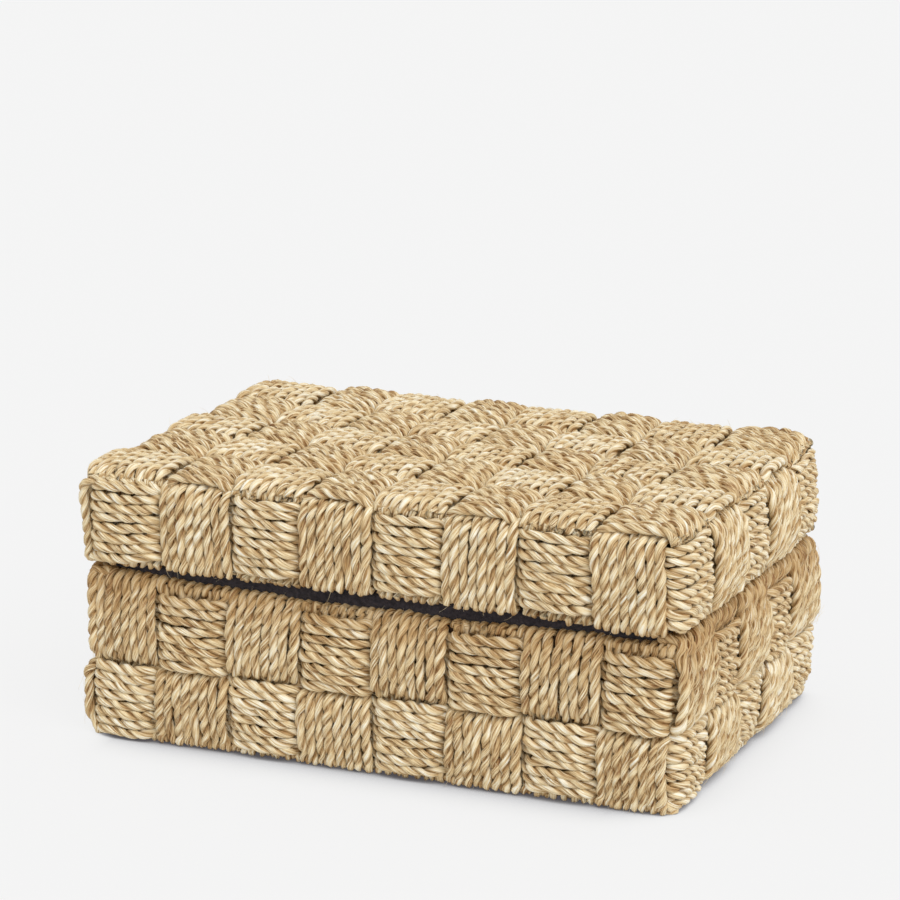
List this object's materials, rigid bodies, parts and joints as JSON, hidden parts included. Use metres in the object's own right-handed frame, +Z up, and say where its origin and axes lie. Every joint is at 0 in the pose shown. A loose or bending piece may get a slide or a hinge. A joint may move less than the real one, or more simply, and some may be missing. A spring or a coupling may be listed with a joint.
{
  "type": "ditty box",
  "caption": "Rectangular keepsake box with a deep hinged lid, a felt-lined board carcass covered in a checkerboard basket weave of twisted natural rope.",
  "frame": {"origin": "on the surface the box stands on, under the middle of the box", "axes": "+X along the width, to the right seen from the front; +Y from the front to the hinged back; +Z up"},
  "size_m": [0.305, 0.203, 0.1337],
  "materials": {
    "abaca_rope": "two-ply twisted abaca rope, straw to light brown, fibrous, matt with a slight sheen",
    "board": "plain thin plywood",
    "felt": "charcoal felt, fuzzy and matt",
    "brass": "satin brass"
  },
  "bodies": {
    "base": {"base_back_board": "board", "base_back_upright_1": "abaca_rope", "base_back_upright_2": "abaca_rope", "base_back_upright_3": "abaca_rope", "base_back_upright_4": "abaca_rope", "base_back_upright_5": "abaca_rope", "base_back_upright_6": "abaca_rope", "base_back_upright_7": "abaca_rope", "base_back_upright_8": "abaca_rope", "base_floor_board": "board", "base_front_board": "board", "base_front_upright_1": "abaca_rope", "base_front_upright_2": "abaca_rope", "base_front_upright_3": "abaca_rope", "base_front_upright_4": "abaca_rope", "base_front_upright_5": "abaca_rope", "base_front_upright_6": "abaca_rope", "base_front_upright_7": "abaca_rope", "base_front_upright_8": "abaca_rope", "base_hinge_screws": "brass", "base_left_board": "board", "base_left_upright_1": "abaca_rope", "base_left_upright_2": "abaca_rope", "base_left_upright_3": "abaca_rope", "base_left_upright_4": "abaca_rope", "base_left_upright_5": "abaca_rope", "base_lining": "felt", "base_lower_hoop": "abaca_rope", "base_right_board": "board", "base_right_upright_1": "abaca_rope", "base_right_upright_2": "abaca_rope", "base_right_upright_3": "abaca_rope", "base_right_upright_4": "abaca_rope", "base_right_upright_5": "abaca_rope", "base_upper_hoop": "abaca_rope", "hinge_base_leaves": "brass", "hinge_pins": "brass", "underside_panel": "felt"},
    "lid": {"hinge_lid_leaves": "brass", "lid_back_board": "board", "lid_column_1": "abaca_rope", "lid_column_2": "abaca_rope", "lid_column_3": "abaca_rope", "lid_column_4": "abaca_rope", "lid_column_5": "abaca_rope", "lid_column_6": "abaca_rope", "lid_column_7": "abaca_rope", "lid_column_8": "abaca_rope", "lid_front_board": "board", "lid_hinge_screws": "brass", "lid_hoop": "abaca_rope", "lid_left_board": "board", "lid_lining": "felt", "lid_right_board": "board", "lid_row_1": "abaca_rope", "lid_row_2": "abaca_rope", "lid_row_3": "abaca_rope", "lid_row_4": "abaca_rope", "lid_row_5": "abaca_rope", "lid_top_board": "board"}
  },
  "joints": [
    {"name": "lid_hinge", "type": "hinge", "parent": "base", "child": "lid", "pos_m": [0, 0.0985, 0.08615], "axis": [-1, 0, 0], "range_deg": [0, 100]}
  ]
}
